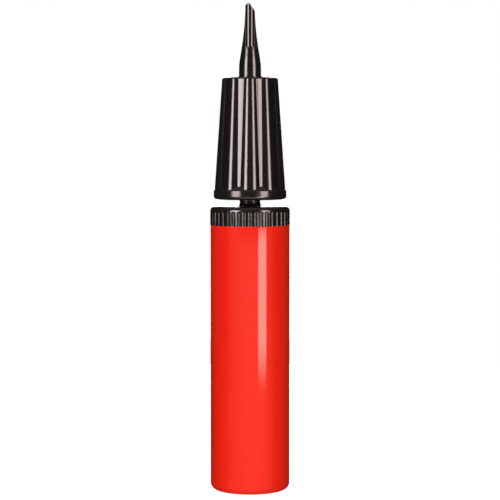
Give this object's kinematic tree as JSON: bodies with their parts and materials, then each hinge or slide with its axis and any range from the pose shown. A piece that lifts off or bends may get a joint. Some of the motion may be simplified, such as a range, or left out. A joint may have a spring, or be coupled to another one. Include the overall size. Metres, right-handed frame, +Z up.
{
  "type": "hand balloon pump",
  "caption": "Hand-held double-action balloon pump: a cylindrical barrel with a fluted collar, a tapered lobed push-pull handle and a tapered nozzle on top.",
  "frame": {"origin": "centre of the barrel's base, on the plane it stands on", "axes": "+Z up the pump's axis towards the nozzle, front towards -Y, handle closed"},
  "size_m": [0.0474, 0.0474, 0.29],
  "materials": {
    "barrel": "smooth gloss",
    "black_plastic": "gloss, moulded",
    "rod_plastic": "smooth gloss",
    "inner_plastic": "as moulded",
    "seal_rubber": "soft, greased",
    "bumper_rubber": "smooth"
  },
  "bodies": {
    "barrel": {"barrel": "barrel", "collar": "black_plastic", "collar_o_ring": "seal_rubber", "valve_cage": "inner_plastic", "lower_valve_stud": "inner_plastic"},
    "rod_seal": {"rod_seal": "seal_rubber"},
    "plunger": {"rod": "rod_plastic", "stop_bumper": "bumper_rubber", "handle": "black_plastic", "nozzle": "black_plastic", "nozzle_o_ring": "seal_rubber", "piston_body": "inner_plastic", "piston_cap": "inner_plastic"},
    "piston_ring": {"piston_ring": "seal_rubber"},
    "upper_inlet_disc": {"upper_inlet_disc": "seal_rubber"},
    "lower_inlet_disc": {"lower_inlet_disc": "seal_rubber"}
  },
  "joints": [
    {"name": "handle_turn", "type": "hinge", "parent": "barrel", "child": "rod_seal", "pos_m": [0, 0, 0.1672], "axis": [0, 0, 1], "continuous": true},
    {"name": "pump_stroke", "type": "slide", "parent": "rod_seal", "child": "plunger", "axis": [0, 0, 1], "range_m": [0, 0.128]},
    {"name": "piston_ring_shift", "type": "slide", "parent": "plunger", "child": "piston_ring", "axis": [0, 0, 1], "range_m": [0, 0.0015]},
    {"name": "upper_valve_lift", "type": "slide", "parent": "barrel", "child": "upper_inlet_disc", "axis": [0, 0, 1], "range_m": [0, 0.0012]},
    {"name": "lower_valve_lift", "type": "slide", "parent": "barrel", "child": "lower_inlet_disc", "axis": [0, 0, 1], "range_m": [0, 0.0012]}
  ]
}
